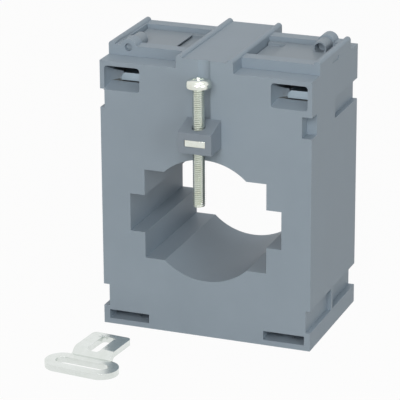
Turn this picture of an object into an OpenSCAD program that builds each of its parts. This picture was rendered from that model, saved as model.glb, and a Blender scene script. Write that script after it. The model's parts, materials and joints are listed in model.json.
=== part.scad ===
// Window-type current transformer: two moulded half shells round a toroidal core,
// hinged terminal covers, busbar clamp screw and a steel mounting foot.
// Millimetres; X is the width, -Y is the front, +Z is up; origin at the centre of the base.

/* [Housing] */
// overall width of the case
body_w = 72; // [60:0.5:90]
// overall depth of the case
body_d = 46.4; // [36:0.2:60]
// height of the ledges beside the terminal deck
shoulder_h = 90.8; // [86:0.2:110]
// rise of the terminal deck above the ledges
deck_rise = 3.4; // [2:0.1:6]
// depth of the front and rear ledges
ledge_d = 7.7; // [4:0.1:9]
// wall thickness of the shells
wall = 1.8; // [1.6:0.1:2.4]
// depth of the terminal floor's underside below the ledges
floor_drop = 13.2; // [12.8:0.1:14.8]
// width of the centre block
centre_w = 19.4; // [16:0.1:22]
// width of the rounded beads on the deck
bead_w = 2.2; // [1.6:0.1:2.6]
// height of the rounded beads above the deck
bead_h = 1.0; // [0.6:0.1:1.4]
// width of the groove behind the clamp screw
groove_w = 4.2; // [3:0.1:6]
// depth of the groove behind the clamp screw
groove_d = 0.9; // [0.5:0.1:1.2]

/* [Primary window] */
// rise of the window centre above the middle of the coil's chamber
window_rise = 1.4; // [1:0.1:3]
// width of the flat busbar slot
bar_w = 52.1; // [50:0.1:53]
// height of the flat busbar slot
bar_h = 12.9; // [10:0.1:14]
// width of the thick busbar slot
block_w = 41.9; // [38:0.1:43]
// height of the thick busbar slot
block_h = 30.5; // [26:0.1:32]
// diameter of the round conductor opening
cable_d = 41.6; // [36:0.1:42]

/* [Side channels] */
// height of the lower side channels
low_channel_h = 7.6; // [6:0.1:8]
// underside of the lower side channels
low_channel_z = 6.2; // [5.8:0.1:8]
// depth of the lower side channels
low_channel_d = 2.0; // [1:0.1:2.4]
// depth of the lower corner recess
low_recess_d = 1.5; // [1:0.1:2.4]
// land left between the corner recess and the seam
recess_land = 1.5; // [1:0.1:3]
// depth of the front shell's upper channel below the ledges
front_channel_drop = 15.7; // [15.4:0.1:18.8]
// height of the front shell's upper channel
front_channel_h = 6.2; // [5:0.1:6.4]
// depth of the rear shell's upper channel below the ledges
rear_channel_drop = 18.7; // [16.8:0.1:19.8]
// height of the rear shell's upper channel
rear_channel_h = 7.0; // [5:0.1:7.4]
// depth of the upper channels
top_channel_d = 1.5; // [1:0.1:2.4]
// depth of the corner notch, from the side
notch_x = 3.3; // [2:0.1:3.5]
// length of the corner notch, along the case
notch_y = 5.0; // [3:0.1:6]
// depth of the corner notch below the ledges
notch_drop = 18.7; // [16.8:0.1:19.8]
// height of the corner notch
notch_h = 7.0; // [5:0.1:8]
// length of the shallow oval on the side face
dimple_l = 6.4; // [4:0.1:8]
// height of the shallow oval on the side face
dimple_h = 1.3; // [0.8:0.1:1.6]
// depth of the shallow oval on the side face
dimple_d = 0.2; // [0.1:0.05:0.4]

/* [Foot slots] */
// width of a foot slot
slot_w = 14; // [13.6:0.1:16]
// height of a foot slot
slot_h = 3.1; // [2.6:0.1:3.6]
// underside of a foot slot
slot_z = 1.8; // [1.4:0.1:2.2]
// depth of a foot slot
slot_d = 15.2; // [14:0.1:18]
// distance of a foot slot from the middle
slot_x = 27; // [26:0.1:28]
// width of the latch inside a foot slot
latch_w = 4.0; // [2.5:0.1:4.2]
// length of the latch inside a foot slot
latch_l = 7; // [4:0.1:9]
// distance of the latch from the slot's mouth
latch_y = 2.6; // [1:0.1:5]
// height of the latch inside a foot slot
latch_h = 0.9; // [0.5:0.1:1.2]

/* [Terminals] */
// width of a wire entry
entry_w = 12.2; // [10:0.1:12.6]
// height of a wire entry
entry_h = 8.1; // [6:0.1:8.4]
// depth of a wire entry's sill below the ledges
entry_drop = 9.7; // [8.8:0.1:10.2]
// distance of a wire entry from the middle
entry_x = 28.4; // [27.8:0.1:28.6]
// corner radius of a wire entry
entry_r = 1.1; // [0.5:0.1:2]
// depth of the scoop behind a wire entry
entry_d = 7.6; // [6:0.1:8]
// drop of the scoop's top toward the clamp
scoop_drop = 4.3; // [2:0.1:5]
// height of the ramp in the wire entry
ramp_h = 1.9; // [0.5:0.1:1.9]
// thickness of the terminal bar
strip_t = 1.4; // [1:0.1:1.6]
// width of the terminal bar
strip_w = 11.2; // [9:0.1:11.6]
// length of the terminal bar
strip_l = 36.8; // [34:0.1:37]
// depth of the terminal bar's top face below the ledges
strip_drop = 7.8; // [7.6:0.1:8.2]
// gap between bar and wire clamp at rest
wire_gap = 0.4; // [0.3:0.1:0.8]
// width of a wire clamp
jaw_w = 7.3; // [6.6:0.1:7.6]
// thickness of a wire clamp
jaw_t = 2.1; // [1.6:0.1:2.2]
// length of a wire clamp
jaw_l = 31.9; // [28:0.1:32]
// rise of the clamp's lip above its plate
lip_h = 0.5; // [0.2:0.1:1]
// length of the clamp's lip
lip_l = 3.2; // [2:0.1:4]
// sideways offset of clamps and screws
jaw_shift = 1.5; // [1:0.1:1.7]
// diameter of a terminal screw
term_d = 3.5; // [3:0.1:4]
// head diameter of a terminal screw
term_head_d = 6.4; // [5.6:0.1:6.6]
// head height of a terminal screw
term_head_h = 1.9; // [1.6:0.1:2]
// shank length of a terminal screw
term_l = 5.8; // [5:0.1:6]
// travel of a terminal screw with its clamp
term_lift = 1.2; // [0.8:0.1:1.2]

/* [Covers] */
// half length of the cover recess
recess_y = 10.8; // [10:0.1:12]
// distance of the recess end from the middle
recess_x = 33.2; // [33:0.1:33.4]
// thickness of a cover
cover_t = 1.6; // [1.4:0.1:1.8]
// drop of the cover's top below the deck
cover_drop = 1.6; // [1:0.1:1.8]
// clearance round a cover
cover_gap = 0.3; // [0.3:0.05:0.5]
// length of the finger recess
finger_l = 6.4; // [4:0.1:8]
// width of the finger recess
finger_w = 17.2; // [10:0.1:18]
// depth of the finger recess
finger_d = 1.0; // [0.6:0.1:1.1]
// reach of the nail groove under the cover's skin
nail_reach = 1.5; // [0.5:0.1:2.5]
// skin left over the nail groove
nail_skin = 0.45; // [0.4:0.05:0.5]
// distance of the hinge axis from the middle
hinge_x = 29.1; // [28.8:0.1:29.4]
// height of the hinge axis above the deck
hinge_drop = 0.6; // [0.4:0.1:0.8]
// outer diameter of the hinge barrel
barrel_d = 4.6; // [4:0.1:5]
// length of the hinge barrel
barrel_l = 6.2; // [5:0.1:8]
// outer diameter of the hinge boss on the shell
boss_d = 5.7; // [5:0.1:6]
// diameter of the hinge pin in the barrel
pin_d = 3.3; // [2.8:0.1:3.4]
// diameter of the hinge pin's tail in the boss
tail_d = 2.6; // [2:0.1:2.8]
// depth of the pin's end in the boss
pin_sink_boss = 1.2; // [0.3:0.1:1.5]
// depth of the pin's end in the barrel
pin_sink_barrel = 3.6; // [0.5:0.1:4]

/* [Clamp screw] */
// diameter of the clamp screw
screw_d = 4; // [3:0.1:5]
// length of the clamp screw under its head
screw_l = 40; // [30:1:50]
// depth of the clamp screw's head below the ledges
screw_drop = 3.8; // [0.8:0.5:10.8]
// distance of the screw axis from the front face
screw_y = 5.2; // [5:0.1:6]
// head diameter of the clamp screw
head_d = 8.2; // [7:0.1:9.5]
// head height of the clamp screw
head_h = 2.7; // [2:0.1:3.5]
// width across the square nut
nut_w = 7; // [6:0.1:8]
// thickness of the square nut
nut_t = 2.2; // [2:0.1:3]
// depth of the square nut's underside below the ledges
nut_drop = 22.8; // [21.8:0.1:23.8]
// width of the screw holder
holder_w = 11.4; // [10:0.1:14]
// reach of the screw holder
holder_y = 9.0; // [8.8:0.1:10]
// depth of the screw holder's underside below the ledges
holder_drop = 25; // [24.8:0.1:26.8]
// height of the holder's front face
holder_h = 6.9; // [6:0.1:8]
// rise of the holder's top toward the case
holder_rise = 2.4; // [1:0.1:3]

/* [Core and winding] */
// inner diameter of the winding
wound_in_d = 58.4; // [58:0.1:59]
// outer diameter of the winding
wound_out_d = 67.6; // [66:0.1:67.8]
// axial length of the winding
wound_l = 38; // [30:0.5:40]
// build-up of the secondary winding
winding_t = 0.7; // [0.5:0.05:0.9]
// thickness of the insulating wrap
wrap_t = 0.3; // [0.2:0.05:0.4]
// diameter of a winding lead
lead_d = 1.2; // [0.8:0.1:1.6]
// distance of a lead from the seam
lead_y = 8; // [5:0.1:12]

/* [Mounting foot] */
// sheet thickness of the foot
foot_t = 2.0; // [1.5:0.1:2.2]
// length of the oblong eye
eye_l = 25.5; // [20:0.1:28]
// width of the oblong eye
eye_w = 11.2; // [10:0.1:14]
// length of the slot in the eye
eye_slot_l = 18.4; // [14:0.1:20]
// width of the slot in the eye
eye_slot_w = 4.6; // [4:0.1:6]
// width of the tongue
tongue_w = 13.8; // [12:0.1:13.8]
// length of the tongue behind the joggle
tongue_l = 11.8; // [10:0.1:14]
// rise of the tongue above the eye
tongue_rise = 1.9; // [1.8:0.1:2.2]
// length of the joggle
joggle_l = 3.6; // [3:0.1:5]
// width of the opening in the tongue
tongue_slot_w = 4.5; // [4.2:0.1:6]
// length of the opening in the tongue
tongue_slot_l = 11.2; // [8:0.1:12]
// corner radius of the opening in the tongue
tongue_slot_r = 1.2; // [0.5:0.1:2]
// land left between the opening and the tongue's end
tongue_land = 2.4; // [1.5:0.1:4]
// corner radius of the tongue
tongue_r = 1.6; // [0.5:0.1:3]
// position of the loose foot, along X
foot_x = -27.4; // [-60:0.1:60]
// position of the loose foot in front of the case
foot_y = 38.6; // [30:0.1:60]
// turn of the loose foot
foot_turn = -5.5; // [-20:0.5:20]

/* [Hidden] */
$fn = 64;
e = 0.01;
top_z = shoulder_h + deck_rise;
front_y = body_d/2;
deck_y = front_y - ledge_d;
floor_z = shoulder_h - floor_drop;
window_z = floor_z/2 + window_rise;
front_channel_z = shoulder_h - front_channel_drop;
rear_channel_z = shoulder_h - rear_channel_drop;
notch_z = shoulder_h - notch_drop;
entry_z = shoulder_h - entry_drop;
strip_top = shoulder_h - strip_drop;
screw_z = shoulder_h - screw_drop;
nut_z = shoulder_h - nut_drop;
holder_z = shoulder_h - holder_drop;
hinge_z = top_z - hinge_drop;
cover_top = top_z - cover_drop;
cover_bottom = cover_top - cover_t;
rest_z = cover_bottom - 0.3;
chamber_z = floor_z + wall;
chamber_in = entry_x - entry_w/2;
chamber_out = body_w/2 - wall;
strip_z = strip_top - strip_t;
jaw_z = strip_top + wire_gap;
screw_axis = -front_y - screw_y;
holder_top = holder_z + holder_h;
post_x = 27.4;
post_d = 5.2;
peg_d = 2.6;
peg_l = 2.4;
peg_fit = 0.05;
run_fit = 0.05;
peg_z = [10.4, shoulder_h - 21];
pad_d = 4;
pad_r = (wound_in_d + wound_out_d)/4*sin(45);
holder_fit = 0.1;
eye_centre = -front_y - foot_y;
side_wall_top = notch_x + wall;
side_wall_low = max(low_channel_d, low_recess_d) + wall;
entry_top = entry_z + entry_h;
seat_y = entry_d - front_y;
bar_gap = 0.2;
jaw_gap = 0.35;
lip_bevel = 1.6;
scoop_w = entry_w/2 + jaw_shift - jaw_w/2 - jaw_gap;
scoop_t = 1.4;
post_gap = 0.6;
lead_x = post_x - post_d/2 - lead_d/2 - post_gap;
arc_steps = 12;

// box given by its two corners
module span(a, b) { translate(a) cube(b - a); }

// bar along Y with an XZ profile, from y0 to y1
module along_y(y0, y1) {
  translate([0, y1, 0]) rotate([90, 0, 0]) linear_extrude(y1 - y0) children();
}

// bar along X with a YZ profile, from x0 to x1
module along_x(x0, x1) {
  translate([x0, 0, 0]) rotate([90, 0, 90]) linear_extrude(x1 - x0) children();
}

module rod_y(x, z, d, y0, y1) {
  translate([x, y1, z]) rotate([90, 0, 0]) cylinder(d = d, h = y1 - y0);
}

// rectangle with rounded corners, centred
module rounded(w, h, r) {
  square([w - 2*r, h], center = true);
  square([w, h - 2*r], center = true);
  for (x = [-1, 1], z = [-1, 1]) translate([x*(w/2 - r), z*(h/2 - r)]) circle(r = r);
}

// outline of the stepped window, grown by g
module window_outline(g) {
  translate([0, window_z]) {
    square([bar_w + 2*g, bar_h + 2*g], center = true);
    square([block_w + 2*g, block_h + 2*g], center = true);
    circle(d = cable_d + 2*g, $fn = 120);
  }
}

// rounded bead on the deck, its outer face at x, lying toward -s
module bead(x, s, y0) {
  c = x - s*bead_w/2;
  span([c - bead_w/2, y0, shoulder_h], [c + bead_w/2, 0, top_z]);
  intersection() {
    translate([c, 0, top_z + bead_h - bead_w/2]) rotate([90, 0, 0]) cylinder(d = bead_w, h = -y0);
    span([c - bead_w, y0, top_z - bead_w], [c + bead_w, 0, top_z + bead_h]);
  }
}

// everything that fills the outside of one half, seen as the front half
module half_outside() {
  span([-body_w/2, -front_y, 0], [body_w/2, 0, shoulder_h]);
  span([-body_w/2, -deck_y, shoulder_h - e], [body_w/2, 0, top_z]);
  span([-centre_w/2, -front_y, shoulder_h - e], [centre_w/2, 0, top_z]);
  for (s = [-1, 1]) {
    bead(s*centre_w/2, s, -front_y);
    bead(s*body_w/2, s, -deck_y);
  }
  rod_y(-hinge_x, hinge_z, boss_d, -deck_y, -recess_y);
}

// hollow for the wound core, with the posts, pockets and window tube left standing
module half_hollow() {
  difference() {
    union() {
      span([-chamber_out, wall - front_y, low_channel_z + low_channel_h + wall],
           [chamber_out, e, min(notch_z, front_channel_z, rear_channel_z) - wall]);
      span([side_wall_top - body_w/2, wall - front_y, window_z], [body_w/2 - side_wall_top, e, floor_z]);
      span([side_wall_low - body_w/2, wall - front_y, wall], [body_w/2 - side_wall_low, e, window_z]);
    }
    along_y(-front_y, 1) window_outline(wall);
    for (s = [-1, 1]) {
      span([s*slot_x - slot_w/2 - wall, -front_y, 0],
           [s*slot_x + slot_w/2 + wall, slot_d + wall - front_y, slot_z + slot_h + wall]);
      for (z = peg_z) rod_y(s*post_x, z, post_d, -front_y, 1);
      for (z = [-1, 1]) rod_y(s*pad_r, window_z + z*pad_r, pad_d, -front_y, -wound_l/2);
    }
  }
}

// curved wall that guides the wire to the clamp, on the left of an entry
module scoop(s) {
  x = s*entry_x - entry_w/2;
  intersection() {
    translate([0, 0, entry_z - 0.1]) linear_extrude(entry_h + 1)
      polygon([for (a = [0 : 90/arc_steps : 90])
                 [x + scoop_w*(1 - cos(a)), entry_d*sin(a) - front_y],
               [x + scoop_w, seat_y + scoop_t], [x - 1, seat_y + scoop_t], [x - 1, -front_y]]);
    along_x(x - 2, x + entry_w)
      polygon([[-front_y, entry_z - 0.1], [-strip_l/2, entry_z - 0.1], [-strip_l/2, strip_top],
               [seat_y + scoop_t, strip_top], [seat_y + scoop_t, entry_top - scoop_drop],
               [-front_y, entry_top]]);
  }
}

// terminal chamber of one side (s) in one half
module half_chamber(s) {
  x = [s*chamber_in, s*chamber_out];
  difference() {
    union() {
      along_y(-front_y - 1, seat_y) translate([s*entry_x, entry_z + entry_h/2])
        rounded(entry_w, entry_h, entry_r);
      // over the bar, under it, and up to the cover
      span([min(x), -strip_l/2 - bar_gap, strip_z], [max(x), e, entry_top]);
      span([min(x), seat_y, chamber_z], [max(x), e, strip_z + e]);
      span([min(x), 0.3 - recess_y, entry_z], [max(x), e, rest_z + e]);
    }
    scoop(s);
  }
}

// one half of the case; the rear half is the same moulding turned round
module half_shell(channel_z, channel_h) {
  difference() {
    half_outside();
    half_hollow();
    along_y(-front_y - 1, 1) window_outline(0);
    for (s = [-1, 1]) {
      half_chamber(s);
      // recess for the cover
      x = [s*centre_w/2, s*recess_x];
      span([min(x), -recess_y, rest_z], [max(x), e, top_z + bead_h + 2]);
      // slot for the mounting foot
      span([s*slot_x - slot_w/2, -front_y - 1, slot_z], [s*slot_x + slot_w/2, slot_d - front_y, slot_z + slot_h]);
      // half of the shallow oval on the side face
      intersection() {
        translate([s*(body_w/2 - dimple_d), 0, cover_top - dimple_h/2]) rotate([0, s*90, 0])
          linear_extrude(1) rounded(dimple_h, dimple_l, dimple_h/2 - e);
        span([-body_w, -dimple_l, 0], [body_w, e, top_z]);
      }
    }
    // side channels, open to the outer face
    span([-body_w/2 - 1, -front_y - 1, low_channel_z],
         [low_channel_d - body_w/2, e, low_channel_z + low_channel_h]);
    span([-body_w/2 - 1, -front_y - 1, channel_z], [top_channel_d - body_w/2, e, channel_z + channel_h]);
    span([body_w/2 - low_recess_d, -front_y - 1, low_channel_z],
         [body_w/2 + 1, -recess_land, low_channel_z + low_channel_h]);
    span([body_w/2 - notch_x, -front_y - 1, notch_z], [body_w/2 + 1, notch_y - front_y, notch_z + notch_h]);
    // hinge boss bore
    rod_y(-hinge_x, hinge_z, tail_d, -deck_y - 1, -recess_y + 1);
    // passage for the winding lead
    translate([-lead_x, -lead_y, floor_z - 1]) cylinder(d = lead_d + 0.4, h = wall + 2);
    // sockets for the other half's pegs
    for (z = peg_z) rod_y(-post_x, z, peg_d + 2*peg_fit, -peg_l - 0.4, 1);
  }
  for (z = peg_z) rod_y(post_x, z, peg_d, -1, peg_l);
  // ramps that lead the wire over the bar, and latches for the feet
  for (s = [-1, 1]) {
    along_x(s*entry_x - entry_w/2 - 0.2, s*entry_x + entry_w/2 + 0.2)
      polygon([[-front_y, entry_z], [-strip_l/2, entry_z + ramp_h], [-strip_l/2, strip_z],
               [seat_y, strip_z], [seat_y, entry_z - 0.2], [-front_y, entry_z - 0.2]]);
    along_x(s*slot_x - latch_w/2, s*slot_x + latch_w/2)
      polygon([[latch_y - front_y, slot_z - 0.1], [latch_y + latch_l - front_y, slot_z - 0.1],
               [latch_y + latch_l - front_y, slot_z + latch_h]]);
  }
}

module front_shell() {
  color([0.60, 0.65, 0.69]) difference() {
    half_shell(front_channel_z, front_channel_h);
    // groove behind the clamp screw
    rod = groove_w*groove_w/8/groove_d + groove_d/2;
    translate([0, groove_d - front_y - rod, holder_z]) cylinder(r = rod, h = top_z);
  }
}

module rear_shell() {
  color([0.58, 0.63, 0.67]) rotate([0, 0, 180]) half_shell(rear_channel_z, rear_channel_h);
}

// flat ring round the window axis, from its diameters and length
module tube(d_in, d_out, l) {
  translate([0, 0, window_z]) rotate([90, 0, 0]) difference() {
    cylinder(d = d_out, h = l, center = true, $fn = 120);
    cylinder(d = d_in, h = l + 2, center = true, $fn = 120);
  }
}

module ring_core() {
  skin = 2*(winding_t + wrap_t);
  color([0.35, 0.36, 0.38]) tube(wound_in_d + skin, wound_out_d - skin, wound_l - skin);
}

module core_wrap() {
  skin = 2*winding_t;
  color([0.85, 0.80, 0.60]) difference() {
    tube(wound_in_d + skin, wound_out_d - skin, wound_l - skin);
    tube(wound_in_d + skin + 2*wrap_t, wound_out_d - skin - 2*wrap_t, wound_l - skin - 2*wrap_t);
  }
}

module secondary_winding() {
  skin = 2*winding_t;
  color([0.72, 0.40, 0.20]) difference() {
    tube(wound_in_d, wound_out_d, wound_l);
    tube(wound_in_d + skin, wound_out_d - skin, wound_l - skin);
  }
}

// winding lead from the coil up to the terminal bar
module lead(s) {
  color([0.78, 0.45, 0.22]) difference() {
    translate([s*lead_x, s*lead_y, window_z]) cylinder(d = lead_d, h = strip_z - window_z);
    translate([0, 0, window_z]) rotate([90, 0, 0])
      cylinder(d = wound_out_d, h = wound_l, center = true, $fn = 120);
  }
}
module lead_left() { lead(-1); }
module lead_right() { lead(1); }

// tinned bar under the wire, with the screw's threaded hole
module terminal_bar(s) {
  color([0.80, 0.80, 0.78]) difference() {
    translate([s*entry_x - strip_w/2, -strip_l/2, strip_z]) cube([strip_w, strip_l, strip_t]);
    translate([s*entry_x + jaw_shift, 0, strip_z - 1]) cylinder(d = term_d + 2*run_fit, h = strip_t + 2);
  }
}
module terminal_bar_left() { terminal_bar(-1); }
module terminal_bar_right() { terminal_bar(1); }

// wire clamp: thick at the front lip, thinner under the screw head
module wire_clamp(s) {
  x = s*entry_x + jaw_shift;
  y0 = -strip_l/2;
  color([0.74, 0.76, 0.78]) difference() {
    translate([x - jaw_w/2, y0, jaw_z]) {
      cube([jaw_w, jaw_l, jaw_t]);
      cube([jaw_w, lip_l, jaw_t + lip_h]);
    }
    translate([x, 0, jaw_z - 1]) cylinder(d = term_d + 0.4, h = jaw_t + 2);
    // bevel on the lip's inner corner
    translate([x - jaw_w/2, y0, jaw_z + jaw_t + lip_h]) rotate([0, 45, 0])
      cube([lip_bevel, 2*lip_l + 1, lip_bevel], center = true);
  }
}
module wire_clamp_left() { wire_clamp(-1); }
module wire_clamp_right() { wire_clamp(1); }

// cross recess, its mouth at z = 0
module cross_recess(l, w, d) {
  for (a = [0, 90]) rotate([0, 0, a]) translate([-l/2, -w/2, -d]) cube([l, w, d + 1]);
}

module terminal_screw(s) {
  translate([s*entry_x + jaw_shift, 0, jaw_z + jaw_t]) color([0.78, 0.78, 0.74]) difference() {
    union() {
      cylinder(d = term_head_d, h = term_head_h);
      translate([0, 0, -term_l]) cylinder(d = term_d, h = term_l + e);
    }
    translate([0, 0, term_head_h]) cross_recess(4, 0.9, 1.2);
  }
}
module terminal_screw_left() { terminal_screw(-1); }
module terminal_screw_right() { terminal_screw(1); }

// hinged cover, drawn for the right side
module cover() {
  x0 = centre_w/2 + cover_gap;
  x1 = recess_x - cover_gap;
  y1 = recess_y - cover_gap;
  color([0.57, 0.59, 0.62]) difference() {
    union() {
      span([x0, -y1, cover_bottom], [x1, y1, cover_top]);
      intersection() {
        rod_y(hinge_x, hinge_z, barrel_d, y1 - barrel_l, y1);
        span([x0, -y1, cover_bottom], [x1, y1, top_z + 3]);
      }
    }
    span([x0 - 1, -finger_w/2, cover_top - finger_d], [x0 + finger_l, finger_w/2, top_z]);
    // groove under the skin for a fingernail
    span([x0 + finger_l - 1, -finger_w/2, cover_top - finger_d],
         [x0 + finger_l + nail_reach, finger_w/2, cover_top - nail_skin]);
    rod_y(hinge_x, hinge_z, pin_d + 2*run_fit, y1 - barrel_l - 1, y1 + 1);
  }
}
module cover_right() { cover(); }
module cover_left() { rotate([0, 0, 180]) cover(); }

module hinge_pin() {
  color([0.50, 0.55, 0.60]) {
    rod_y(hinge_x, hinge_z, pin_d, recess_y - cover_gap - barrel_l + pin_sink_barrel, recess_y - cover_gap);
    rod_y(hinge_x, hinge_z, tail_d, recess_y - cover_gap - e, deck_y - pin_sink_boss);
  }
}
module hinge_pin_right() { hinge_pin(); }
module hinge_pin_left() { rotate([0, 0, 180]) hinge_pin(); }

// insulating block that carries the nut in front of the case
module clamp_holder() {
  color([0.62, 0.67, 0.71]) difference() {
    union() {
      along_x(-holder_w/2, holder_w/2)
        polygon([[-front_y, holder_z], [-front_y, holder_top + holder_rise],
                 [-front_y - holder_y, holder_top], [-front_y - holder_y, holder_z]]);
      // key in the groove of the case
      span([-groove_w/4, -front_y - e, holder_z + holder_fit],
           [groove_w/4, groove_d/2 - front_y, holder_top]);
    }
    translate([0, screw_axis, holder_z - 1]) cylinder(d = screw_d + 0.3, h = holder_h + holder_rise + 2);
    span([-nut_w/2 - holder_fit, -front_y - holder_y - 1, nut_z],
         [nut_w/2 + holder_fit, screw_axis + nut_w/2 + holder_fit, nut_z + nut_t + holder_fit]);
  }
}

module clamp_nut() {
  color([0.82, 0.83, 0.80]) difference() {
    translate([-nut_w/2, screw_axis - nut_w/2, nut_z]) cube([nut_w, nut_w, nut_t]);
    translate([0, screw_axis, nut_z - 1]) cylinder(d = screw_d + 2*run_fit, h = nut_t + 2);
  }
}

// pan head screw with a cross recess and a chamfered tip
module clamp_screw() {
  r = screw_d/2;
  rh = head_d/2;
  translate([0, screw_axis, screw_z]) color([0.80, 0.82, 0.78]) difference() {
    rotate_extrude() {
      polygon([[0, 1], [0, -screw_l], [r - 0.6, -screw_l], [r, 0.6 - screw_l], [r, 1]]);
      polygon([[0, 0], [rh - 0.3, 0], [rh, 0.3], [rh, head_h*0.45], [rh*0.93, head_h*0.68],
               [rh*0.78, head_h*0.86], [rh*0.5, head_h*0.97], [0, head_h]]);
    }
    translate([0, 0, head_h]) rotate([0, 0, 25]) cross_recess(4.6, 1.0, 1.7);
  }
}

// one face of the foot's joggle, h above the sheet's middle, from the eye to the tongue
function joggle_face(h) =
  let (y0 = eye_w/2, y1 = eye_w/2 + joggle_l,
       turn = 2*atan(tongue_rise/joggle_l), r = joggle_l/2/sin(turn))
  concat([for (a = [0 : turn/arc_steps : turn]) [y0 + (r - h)*sin(a), foot_t/2 + r - (r - h)*cos(a)]],
         [for (a = [turn : -turn/arc_steps : 0])
            [y1 - (r + h)*sin(a), foot_t/2 + tongue_rise - r + (r + h)*cos(a)]]);

// steel foot: oblong eye flat on the surface, joggled tongue that enters a foot slot
module mounting_foot() {
  y_end = eye_w/2 + joggle_l + tongue_l;
  upper = joggle_face(foot_t/2);
  lower = joggle_face(-foot_t/2);
  last = len(lower) - 1;
  color([0.72, 0.74, 0.73]) translate([foot_x, eye_centre, 0]) rotate([0, 0, foot_turn]) {
    linear_extrude(foot_t) difference() {
      union() {
        square([eye_l - eye_w, eye_w], center = true);
        for (s = [-1, 1]) translate([s*(eye_l - eye_w)/2, 0]) circle(d = eye_w);
      }
      square([eye_slot_l - eye_slot_w, eye_slot_w], center = true);
      for (s = [-1, 1]) translate([s*(eye_slot_l - eye_slot_w)/2, 0]) circle(d = eye_slot_w);
    }
    difference() {
      along_x(-tongue_w/2, tongue_w/2)
        polygon(concat([[eye_w/2 - 1, 0], [eye_w/2 - 1, foot_t]], upper,
                       [[y_end, tongue_rise + foot_t], [y_end, tongue_rise]],
                       [for (i = [last : -1 : 0]) lower[i]]));
      // rounded corners of the tongue
      for (s = [-1, 1]) difference() {
        translate([s*(tongue_w - tongue_r + 1)/2, y_end - (tongue_r - 1)/2, tongue_rise + foot_t/2])
          cube([tongue_r + 1, tongue_r + 1, 2*foot_t], center = true);
        translate([s*(tongue_w/2 - tongue_r), y_end - tongue_r, 0]) cylinder(r = tongue_r, h = 3*foot_t);
      }
      translate([0, y_end - tongue_land - tongue_slot_l/2, -1])
        linear_extrude(tongue_rise + foot_t + 2) rounded(tongue_slot_w, tongue_slot_l, tongue_slot_r);
    }
  }
}

front_shell();
rear_shell();
ring_core();
core_wrap();
secondary_winding();
lead_left();
lead_right();
terminal_bar_left();
terminal_bar_right();
wire_clamp_left();
wire_clamp_right();
terminal_screw_left();
terminal_screw_right();
cover_left();
cover_right();
hinge_pin_left();
hinge_pin_right();
clamp_holder();
clamp_nut();
clamp_screw();
mounting_foot();
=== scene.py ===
"""Window-type current transformer.

A moulded case with hinged terminal covers, a busbar clamp screw and a loose steel foot.
"""
import json
from math import cos, pi, radians, sin, tau

import bpy
from mathutils import Matrix, Vector

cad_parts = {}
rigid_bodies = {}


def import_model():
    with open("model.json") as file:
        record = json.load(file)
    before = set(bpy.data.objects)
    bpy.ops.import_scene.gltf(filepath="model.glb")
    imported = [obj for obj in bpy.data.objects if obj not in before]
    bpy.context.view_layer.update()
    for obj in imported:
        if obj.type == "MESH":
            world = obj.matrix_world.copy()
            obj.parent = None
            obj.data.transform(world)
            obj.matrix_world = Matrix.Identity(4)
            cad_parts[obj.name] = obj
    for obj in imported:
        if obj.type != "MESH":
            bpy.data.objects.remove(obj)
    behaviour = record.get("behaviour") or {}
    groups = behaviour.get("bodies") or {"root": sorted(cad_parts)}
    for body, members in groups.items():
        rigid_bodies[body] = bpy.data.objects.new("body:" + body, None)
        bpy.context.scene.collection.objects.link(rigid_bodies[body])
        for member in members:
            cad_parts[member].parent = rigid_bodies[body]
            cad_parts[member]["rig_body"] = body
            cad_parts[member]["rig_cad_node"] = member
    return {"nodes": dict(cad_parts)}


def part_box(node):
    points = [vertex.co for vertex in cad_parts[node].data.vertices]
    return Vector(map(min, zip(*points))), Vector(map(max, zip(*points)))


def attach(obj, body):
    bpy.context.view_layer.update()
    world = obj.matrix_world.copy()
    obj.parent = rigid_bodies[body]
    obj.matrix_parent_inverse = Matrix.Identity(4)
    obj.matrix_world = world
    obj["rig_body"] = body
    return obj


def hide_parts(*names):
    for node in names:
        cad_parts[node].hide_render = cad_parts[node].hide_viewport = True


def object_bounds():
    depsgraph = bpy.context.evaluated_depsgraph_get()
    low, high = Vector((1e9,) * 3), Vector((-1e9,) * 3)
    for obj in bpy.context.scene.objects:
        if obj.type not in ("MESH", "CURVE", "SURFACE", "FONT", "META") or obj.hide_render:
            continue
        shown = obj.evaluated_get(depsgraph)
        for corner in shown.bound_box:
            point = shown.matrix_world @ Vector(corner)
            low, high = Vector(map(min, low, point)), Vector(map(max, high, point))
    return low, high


MM = 0.001
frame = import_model()
cad_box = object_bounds()
nodes = frame["nodes"]


# ---------------------------------------------------------------- camera, lights and floor

CAMERA_PLACE = Vector((272.4, -727.8, 318.2)) * MM
CAMERA_PITCH = 0.344
CAMERA_YAW = 0.371
CAMERA_ROLL = -0.006
CAMERA_LENS = 224.6
SENSOR_WIDTH = 36
CLIP_NEAR, CLIP_FAR = 0.01, 20

LIGHT_SIZE = (0.5, 0.5)
WORLD_LIGHT = 0.25

FLOOR_SIZE = 8
FLOOR_COLOUR = (0.50, 0.47, 0.43, 1)
FLOOR_WHITE_SHARE = 0.96


def make_camera():
    ahead = Vector((-sin(CAMERA_YAW) * cos(CAMERA_PITCH),
                    cos(CAMERA_YAW) * cos(CAMERA_PITCH),
                    -sin(CAMERA_PITCH)))
    level = ahead.cross(Vector((0, 0, 1))).normalized()
    above = level.cross(ahead)
    right = level * cos(CAMERA_ROLL) + above * sin(CAMERA_ROLL)
    up = above * cos(CAMERA_ROLL) - level * sin(CAMERA_ROLL)
    bpy.ops.object.camera_add()
    camera = bpy.context.object
    camera.data.sensor_width = SENSOR_WIDTH
    camera.data.lens = CAMERA_LENS
    camera.data.clip_start = CLIP_NEAR
    camera.data.clip_end = CLIP_FAR
    turn = Matrix((right, up, -ahead)).transposed().to_4x4()
    camera.matrix_world = Matrix.Translation(CAMERA_PLACE) @ turn
    bpy.context.scene.camera = camera


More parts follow.
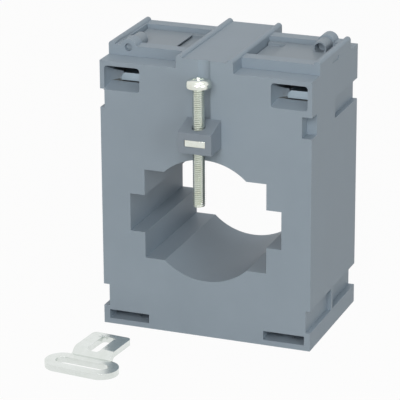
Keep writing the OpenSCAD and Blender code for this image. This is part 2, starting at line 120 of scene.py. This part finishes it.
def make_light(name, place, target, size, power, colour):
    bpy.ops.object.light_add(type="AREA", location=place)
    light = bpy.context.object
    light.name = name
    light.data.shape = "RECTANGLE"
    light.data.size, light.data.size_y = size
    light.data.energy = power
    light.data.color = colour
    aim = Vector(target) - Vector(place)
    light.rotation_mode = "QUATERNION"
    light.rotation_quaternion = aim.to_track_quat("-Z", "Y")


# ---------------------------------------------------------------- shader arithmetic

class Signal:
    """A shader socket that takes part in sums; each operator adds its Math node."""

    def __init__(self, finish, socket):
        self.finish = finish
        self.socket = socket

    def maths(self, operation, *values):
        return self.finish.add("Math", {"operation": operation}, dict(enumerate(values)))

    def __add__(self, other):
        return self.maths("ADD", self, other)

    def __sub__(self, other):
        return self.maths("SUBTRACT", self, other)

    def __mul__(self, other):
        return self.maths("MULTIPLY", self, other)

    def __pow__(self, other):
        return self.maths("POWER", self, other)

    __radd__ = __add__

    def sine(self):
        return self.maths("SINE", self)

    def clamped(self):
        return self.maths("MINIMUM", self.maths("MAXIMUM", self, 0), 1)


class Finish:
    """One procedural material, built round its Principled shader."""

    def __init__(self, name, **constants):
        self.material = bpy.data.materials.new(name)
        self.material.use_nodes = True
        self.tree = self.material.node_tree
        self.shader = self.tree.nodes["Principled BSDF"]
        for socket, value in constants.items():
            self.shader.inputs[socket.replace("_", " ")].default_value = value
        self.place = self.add("TexCoord", output="Object")

    def add(self, kind, settings=None, sockets=None, output=0):
        made = self.tree.nodes.new("ShaderNode" + kind)
        for key, value in (settings or {}).items():
            setattr(made, key, value)
        for key, value in (sockets or {}).items():
            if isinstance(value, Signal):
                self.tree.links.new(value.socket, made.inputs[key])
            else:
                made.inputs[key].default_value = value
        return Signal(self, made.outputs[output])

    def drive(self, socket, value):
        self.tree.links.new(value.socket, self.shader.inputs[socket])

    def noise(self, per_mm, detail=2.0, roughness=0.5, stretch=(1, 1, 1)):
        """Noise with about per_mm features to the millimetre, from 0 to 1."""
        spread = self.add("VectorMath", {"operation": "MULTIPLY"}, {0: self.place, 1: stretch})
        return self.add("TexNoise", None, {"Vector": spread, "Scale": per_mm * 1000,
                                           "Detail": detail, "Roughness": roughness})

    def blend(self, factor, low, high):
        """Colour from low to high; sockets 6 and 7 of a Mix node are its colours."""
        return self.add("Mix", {"data_type": "RGBA"}, {0: factor, 6: low, 7: high}, output=2)

    def coordinate(self, axis):
        return self.add("SeparateXYZ", None, {0: self.place}, output="XYZ".index(axis))

    def bumps(self, height, depth_mm):
        """Normal from a height signal, with depth in millimetres."""
        self.drive("Normal", self.add("Bump", None, {"Height": height, "Strength": 1.0,
                                                     "Distance": depth_mm * MM}))


def srgb(red, green, blue):
    """Linear colour of an 8-bit display colour."""
    def linear(part):
        part = part / 255
        return part / 12.92 if part <= 0.04045 else ((part + 0.055) / 1.055) ** 2.4
    return (linear(red), linear(green), linear(blue), 1)


# ---------------------------------------------------------------- finishes

MOULD_GRAIN_MM = 0.03
PLATE_GRAIN_MM = 0.006
WIRE_RELIEF_MM = 0.05
FILM_RELIEF_MM = 0.1
STRIP_THICKNESS_MM = 0.3
STRIP_RELIEF_MM = 0.01


def moulded(name, colour, dark, rough=0.5):
    """Moulded plastic with the mould's fine grain and faint flow clouds."""
    finish = Finish(name, Roughness=rough, IOR=1.46, Specular_IOR_Level=0.35)
    clouds = finish.noise(0.045, detail=3, roughness=0.6)
    grain = finish.noise(4.0, detail=2, roughness=0.7)
    mix = (clouds * 0.75 + grain * 0.25 - 0.25) * 2
    finish.drive("Base Color", finish.blend(mix.clamped(), dark, colour))
    finish.drive("Roughness", rough + (grain - 0.5) * 0.16 + (clouds - 0.5) * 0.1)
    finish.bumps(grain, MOULD_GRAIN_MM)
    return finish.material


def plated(name, colour, tint, rough=0.22):
    """Zinc plate: bright, with a faint tinted passivation and fine rolling marks."""
    finish = Finish(name, Metallic=1.0, Roughness=rough)
    clouds = finish.noise(0.35, detail=3, roughness=0.55)
    fine = finish.noise(6.0, detail=3, roughness=0.7)
    finish.drive("Base Color", finish.blend(clouds.clamped(), colour, tint))
    finish.drive("Roughness", rough + (fine - 0.5) * 0.2)
    finish.bumps(fine, PLATE_GRAIN_MM)
    return finish.material


def wound(name, colour, dark):
    """Enamelled wire seen as close turns."""
    finish = Finish(name, Roughness=0.3, Metallic=0.9)
    clouds = finish.noise(0.6, detail=2)
    finish.drive("Base Color", finish.blend(clouds, dark, colour))
    finish.bumps(finish.noise(2.0, stretch=(1, 0.15, 1)), WIRE_RELIEF_MM)
    return finish.material


def film(name, colour, dark):
    """Insulating film with faint wrinkles."""
    finish = Finish(name, Roughness=0.35)
    creases = finish.noise(0.4, detail=4, roughness=0.6)
    finish.drive("Base Color", finish.blend(creases, dark, colour))
    finish.bumps(creases, FILM_RELIEF_MM)
    return finish.material


def strip_steel(name, colour, dark):
    """Edges of a wound steel strip, as fine rings round the window's axis."""
    finish = Finish(name, Metallic=1.0, Roughness=0.35)
    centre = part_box("ring_core")[0] * 0.5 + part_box("ring_core")[1] * 0.5
    across = finish.coordinate("X") - centre.x
    height = finish.coordinate("Z") - centre.z
    radius = (across * across + height * height) ** 0.5
    layers = (radius * (2 * pi / (STRIP_THICKNESS_MM * MM))).sine()
    finish.drive("Base Color", finish.blend((layers * 0.5 + 0.5).clamped(), dark, colour))
    finish.bumps(layers, STRIP_RELIEF_MM)
    return finish.material


def ground(name):
    """Pale floor that shows nearly white to the camera, and keeps a faint shadow."""
    finish = Finish(name, Roughness=0.9, Base_Color=FLOOR_COLOUR)
    rays = finish.add("LightPath", output="Is Camera Ray")
    glossy = finish.add("LightPath", output="Is Glossy Ray")
    through = finish.add("LightPath", output="Is Transmission Ray")
    seen = (rays + glossy + through).clamped()
    white = finish.add("Emission", None, {"Color": (1, 1, 1, 1), "Strength": 1.0})
    body = Signal(finish, finish.shader.outputs[0])
    mixed = finish.add("MixShader", None, {0: seen * FLOOR_WHITE_SHARE, 1: body, 2: white})
    finish.tree.links.new(mixed.socket, finish.tree.nodes["Material Output"].inputs["Surface"])
    return finish.material


def make_world():
    world = bpy.data.worlds.new("studio")
    bpy.context.scene.world = world
    world.use_nodes = True
    tree = world.node_tree
    paths = tree.nodes.new("ShaderNodeLightPath")
    seen = tree.nodes.new("ShaderNodeMath")
    seen.operation = "MAXIMUM"
    tree.links.new(paths.outputs["Is Camera Ray"], seen.inputs[0])
    tree.links.new(paths.outputs["Is Transmission Ray"], seen.inputs[1])
    shown = tree.nodes.new("ShaderNodeMath")
    shown.operation = "MAXIMUM"
    tree.links.new(seen.outputs[0], shown.inputs[0])
    tree.links.new(paths.outputs["Is Glossy Ray"], shown.inputs[1])
    light = tree.nodes.new("ShaderNodeMath")
    light.operation = "MULTIPLY_ADD"
    tree.links.new(shown.outputs[0], light.inputs[0])
    light.inputs[1].default_value = 1 - WORLD_LIGHT
    light.inputs[2].default_value = WORLD_LIGHT
    background = tree.nodes["Background"]
    background.inputs["Color"].default_value = (1, 1, 1, 1)
    tree.links.new(light.outputs[0], background.inputs["Strength"])


# ---------------------------------------------------------------- modelling helpers

TINY_MERGE = 0.002 * MM
PROFILE_MERGE = 0.005 * MM
THREAD_MERGE = 0.004 * MM
CAD_MERGE = 0.01 * MM
FLAT_ANGLE = radians(0.5)
BEVEL_ANGLE = radians(30)
SMOOTH_ANGLE = 32
SCREW_SMOOTH_ANGLE = 40

def deselect():
    if bpy.context.object and bpy.context.object.mode != "OBJECT":
        bpy.ops.object.mode_set(mode="OBJECT")
    bpy.ops.object.select_all(action="DESELECT")


def only(piece):
    deselect()
    piece.select_set(True)
    bpy.context.view_layer.objects.active = piece


def settle(piece):
    """Moves the piece's place, turn and size into its mesh."""
    only(piece)
    bpy.ops.object.transform_apply(location=True, rotation=True, scale=True)


def modify(piece, kind, **settings):
    only(piece)
    modifier = piece.modifiers.new(kind.title(), kind)
    for key, value in settings.items():
        setattr(modifier, key, value)
    bpy.ops.object.modifier_apply(modifier=modifier.name)


def body_of(node):
    return nodes[node]["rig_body"]


def dress(piece, node, material):
    """Names the piece after its node, gives it its finish and lets it ride in the node's place."""
    piece.name = node + "_visual"
    piece.data.materials.clear()
    piece.data.materials.append(material)
    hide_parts(node)
    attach(piece, body_of(node))


def smoothed(piece, angle=SMOOTH_ANGLE):
    """Smooth shading on curved faces, with the big flat faces kept flat."""
    only(piece)
    bpy.ops.object.shade_smooth_by_angle(angle=radians(angle))
    modify(piece, "WEIGHTED_NORMAL", mode="FACE_AREA", weight=50, keep_sharp=True)


def softened(node, material, width, segments=2):
    """A copy of a CAD node with merged faces and small rounded edges."""
    only(nodes[node])
    bpy.ops.object.duplicate()
    piece = bpy.context.object
    piece.parent = None
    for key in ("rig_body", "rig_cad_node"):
        if key in piece:
            del piece[key]
    bpy.ops.object.mode_set(mode="EDIT")
    bpy.ops.mesh.select_all(action="SELECT")
    bpy.ops.mesh.remove_doubles(threshold=CAD_MERGE)
    bpy.ops.mesh.dissolve_limited(angle_limit=FLAT_ANGLE)
    bpy.ops.object.mode_set(mode="OBJECT")
    modify(piece, "BEVEL", width=width * MM, segments=segments, limit_method="ANGLE",
           angle_limit=BEVEL_ANGLE, miter_outer="MITER_ARC", use_clamp_overlap=True)
    modify(piece, "TRIANGULATE", min_vertices=5)
    smoothed(piece)
    dress(piece, node, material)


def refinished(node, material):
    """Gives a CAD node that stays as it is its finish."""
    nodes[node].data.materials.clear()
    nodes[node].data.materials.append(material)


# ---------------------------------------------------------------- screws

TURN_STEPS = 48
THREAD_STEPS = 24
POINT_CHAMFER = 0.55
RECESS_FLOOR = (0.35, 0.55, 1)


def traced(points):
    """An open line through the points (millimetres, in the XZ plane), as an edit-mode extrusion."""
    deselect()
    bpy.ops.mesh.primitive_plane_add(size=MM)
    bpy.ops.object.mode_set(mode="EDIT")
    bpy.ops.mesh.merge(type="CENTER")
    x, z = points[0]
    bpy.ops.transform.translate(value=(x * MM, 0, z * MM))
    for (x0, z0), (x1, z1) in zip(points, points[1:]):
        bpy.ops.mesh.extrude_region_move(
            TRANSFORM_OT_translate={"value": ((x1 - x0) * MM, 0, (z1 - z0) * MM)})
    bpy.ops.object.mode_set(mode="OBJECT")
    return bpy.context.object


def turned(points):
    """A body of revolution about Z from its traced profile."""
    piece = traced(points)
    bpy.ops.object.mode_set(mode="EDIT")
    bpy.ops.mesh.select_all(action="SELECT")
    bpy.ops.mesh.spin(steps=TURN_STEPS, angle=tau, center=(0, 0, 0), axis=(0, 0, 1))
    bpy.ops.mesh.select_all(action="SELECT")
    bpy.ops.mesh.remove_doubles(threshold=PROFILE_MERGE)
    bpy.ops.mesh.normals_make_consistent(inside=False)
    bpy.ops.object.mode_set(mode="OBJECT")
    return piece


def threaded(diameter, pitch, depth, low, high, point):
    """A threaded shank about Z from low to high, with a chamfered point (millimetres)."""
    crest = diameter / 2
    root = crest - depth
    start = low - 2 * pitch
    rod = traced([(root, start), (root, start + 0.12 * pitch), (crest, start + 0.48 * pitch),
                  (crest, start + 0.64 * pitch), (root, start + pitch)])
    turns = int((high - low) / pitch) + 5
    modify(rod, "SCREW", axis="Z", angle=tau, screw_offset=pitch * MM, iterations=turns,
           steps=THREAD_STEPS, render_steps=THREAD_STEPS, use_merge_vertices=True,
           merge_threshold=THREAD_MERGE)
    bpy.ops.object.mode_set(mode="EDIT")
    for height, side in ((low, -1), (high, 1)):
        bpy.ops.mesh.select_all(action="SELECT")
        bpy.ops.mesh.bisect(plane_co=(0, 0, height * MM), plane_no=(0, 0, side),
                            use_fill=True, clear_outer=True)
    bpy.ops.mesh.select_all(action="SELECT")
    bpy.ops.mesh.remove_doubles(threshold=TINY_MERGE)
    bpy.ops.mesh.normals_make_consistent(inside=False)
    bpy.ops.object.mode_set(mode="OBJECT")
    hull = turned([(0, low), (crest - point, low), (crest - 0.03, low + point),
                   (crest - 0.03, high + 1), (0, high + 1)])
    combine(rod, hull, "INTERSECT")
    return rod


def combine(piece, tool, operation):
    modify(piece, "BOOLEAN", operation=operation, object=tool, solver="EXACT")
    bpy.data.objects.remove(tool)


def cross_cut(piece, top, length, width, depth, turn):
    """Cuts a tapered cross recess, its mouth at height top."""
    for quarter in (0, pi / 2):
        deselect()
        bpy.ops.mesh.primitive_cube_add(size=MM)
        wing = bpy.context.object
        bpy.ops.object.mode_set(mode="EDIT")
        bpy.ops.transform.resize(value=(length, width, depth + 1))
        bpy.ops.transform.translate(value=(0, 0, (top + 0.5 - depth / 2) * MM))
        bpy.ops.mesh.select_all(action="DESELECT")
        bpy.ops.object.mode_set(mode="OBJECT")
        lowest = min(vertex.co.z for vertex in wing.data.vertices)
        for vertex in wing.data.vertices:
            vertex.select = vertex.co.z < lowest + 0.01 * MM
        bpy.ops.object.mode_set(mode="EDIT")
        bpy.ops.transform.resize(value=RECESS_FLOOR)
        bpy.ops.object.mode_set(mode="OBJECT")
        wing.rotation_euler.z = turn + quarter
        settle(wing)
        combine(piece, wing, "DIFFERENCE")


def joined(first, other):
    only(first)
    other.select_set(True)
    bpy.ops.object.join()
    return first


def pan_screw(node, material, head_d, head_h, shank_d, pitch, depth, recess, turn):
    """Pan head machine screw in the place of its CAD node."""
    low, high = (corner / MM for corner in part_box(node))
    middle = (low + high) / 2
    seat = high.z - head_h
    radius = head_d / 2
    head = turned([(0, seat), (radius - 0.35, seat), (radius - 0.08, seat + 0.12),
                   (radius, seat + 0.38), (radius, seat + head_h * 0.40),
                   (radius * 0.985, seat + head_h * 0.54), (radius * 0.94, seat + head_h * 0.68),
                   (radius * 0.86, seat + head_h * 0.80), (radius * 0.74, seat + head_h * 0.89),
                   (radius * 0.58, seat + head_h * 0.95), (radius * 0.35, seat + head_h * 0.985),
                   (0, seat + head_h)])
    cross_cut(head, high.z, *recess, turn)
    shank = threaded(shank_d, pitch, depth, low.z, seat + 0.01, POINT_CHAMFER)
    screw = joined(head, shank)
    screw.location = (middle.x * MM, middle.y * MM, 0)
    settle(screw)
    smoothed(screw, SCREW_SMOOTH_ANGLE)
    dress(screw, node, material)


# ---------------------------------------------------------------- main

make_camera()

case_plastic = moulded("case_plastic", srgb(153, 166, 177), srgb(145, 158, 169))
cover_plastic = moulded("cover_plastic", srgb(149, 160, 169), srgb(139, 150, 159), rough=0.45)
holder_plastic = moulded("holder_plastic", srgb(140, 150, 160), srgb(132, 143, 153))
bright_zinc = plated("bright_zinc", (0.78, 0.82, 0.80, 1), (0.70, 0.72, 0.62, 1))
sheet_zinc = plated("sheet_zinc", (0.80, 0.83, 0.82, 1), (0.66, 0.70, 0.66, 1), rough=0.2)
clamp_steel = plated("clamp_steel", (0.36, 0.43, 0.49, 1), (0.30, 0.38, 0.43, 1), rough=0.42)
tin = plated("tin", (0.42, 0.42, 0.40, 1), (0.36, 0.34, 0.3, 1), rough=0.45)
copper = wound("copper", (0.72, 0.35, 0.16, 1), (0.45, 0.18, 0.08, 1))
wrap = film("wrap", (0.85, 0.78, 0.5, 1), (0.7, 0.6, 0.35, 1))
core_steel = strip_steel("core_steel", (0.5, 0.5, 0.52, 1), (0.2, 0.2, 0.22, 1))

for node in ("front_shell", "rear_shell"):
    softened(node, case_plastic, 0.25)
for node in ("cover_left", "cover_right"):
    softened(node, cover_plastic, 0.2)
for node in ("hinge_pin_left", "hinge_pin_right"):
    softened(node, case_plastic, 0.15)
softened("clamp_holder", holder_plastic, 0.4, segments=3)
softened("clamp_nut", bright_zinc, 0.15)
pan_screw("clamp_screw", bright_zinc, 8.2, 2.7, 4.0, 0.7, 0.36, (4.6, 1.1, 1.7), radians(25))
softened("mounting_foot", sheet_zinc, 0.25, segments=3)
for side in ("left", "right"):
    softened("terminal_bar_" + side, tin, 0.1)
    softened("wire_clamp_" + side, clamp_steel, 0.15)
    pan_screw("terminal_screw_" + side, bright_zinc, 6.4, 1.9, 3.5, 0.6, 0.3, (4, 0.9, 1.2),
              radians(10))
    refinished("lead_" + side, copper)
refinished("secondary_winding", copper)
refinished("core_wrap", wrap)
refinished("ring_core", core_steel)

deselect()
bpy.ops.mesh.primitive_plane_add(size=FLOOR_SIZE, location=(0, 0, 0))
floor = bpy.context.object
floor.name = "floor"
floor.data.materials.append(ground("ground"))

middle = (cad_box[0] + cad_box[1]) / 2
make_world()
make_light("key", (0.16, -0.95, 0.55), middle, LIGHT_SIZE, 5.4, (1, 0.99, 0.98))
make_light("side", (0.85, -0.5, 0.3), middle, LIGHT_SIZE, 2.0, (0.86, 0.95, 1))
make_light("top", (0.05, 0.1, 1.1), middle, LIGHT_SIZE, 2.2, (1, 0.98, 0.96))

bpy.context.scene.view_settings.view_transform = "Standard"
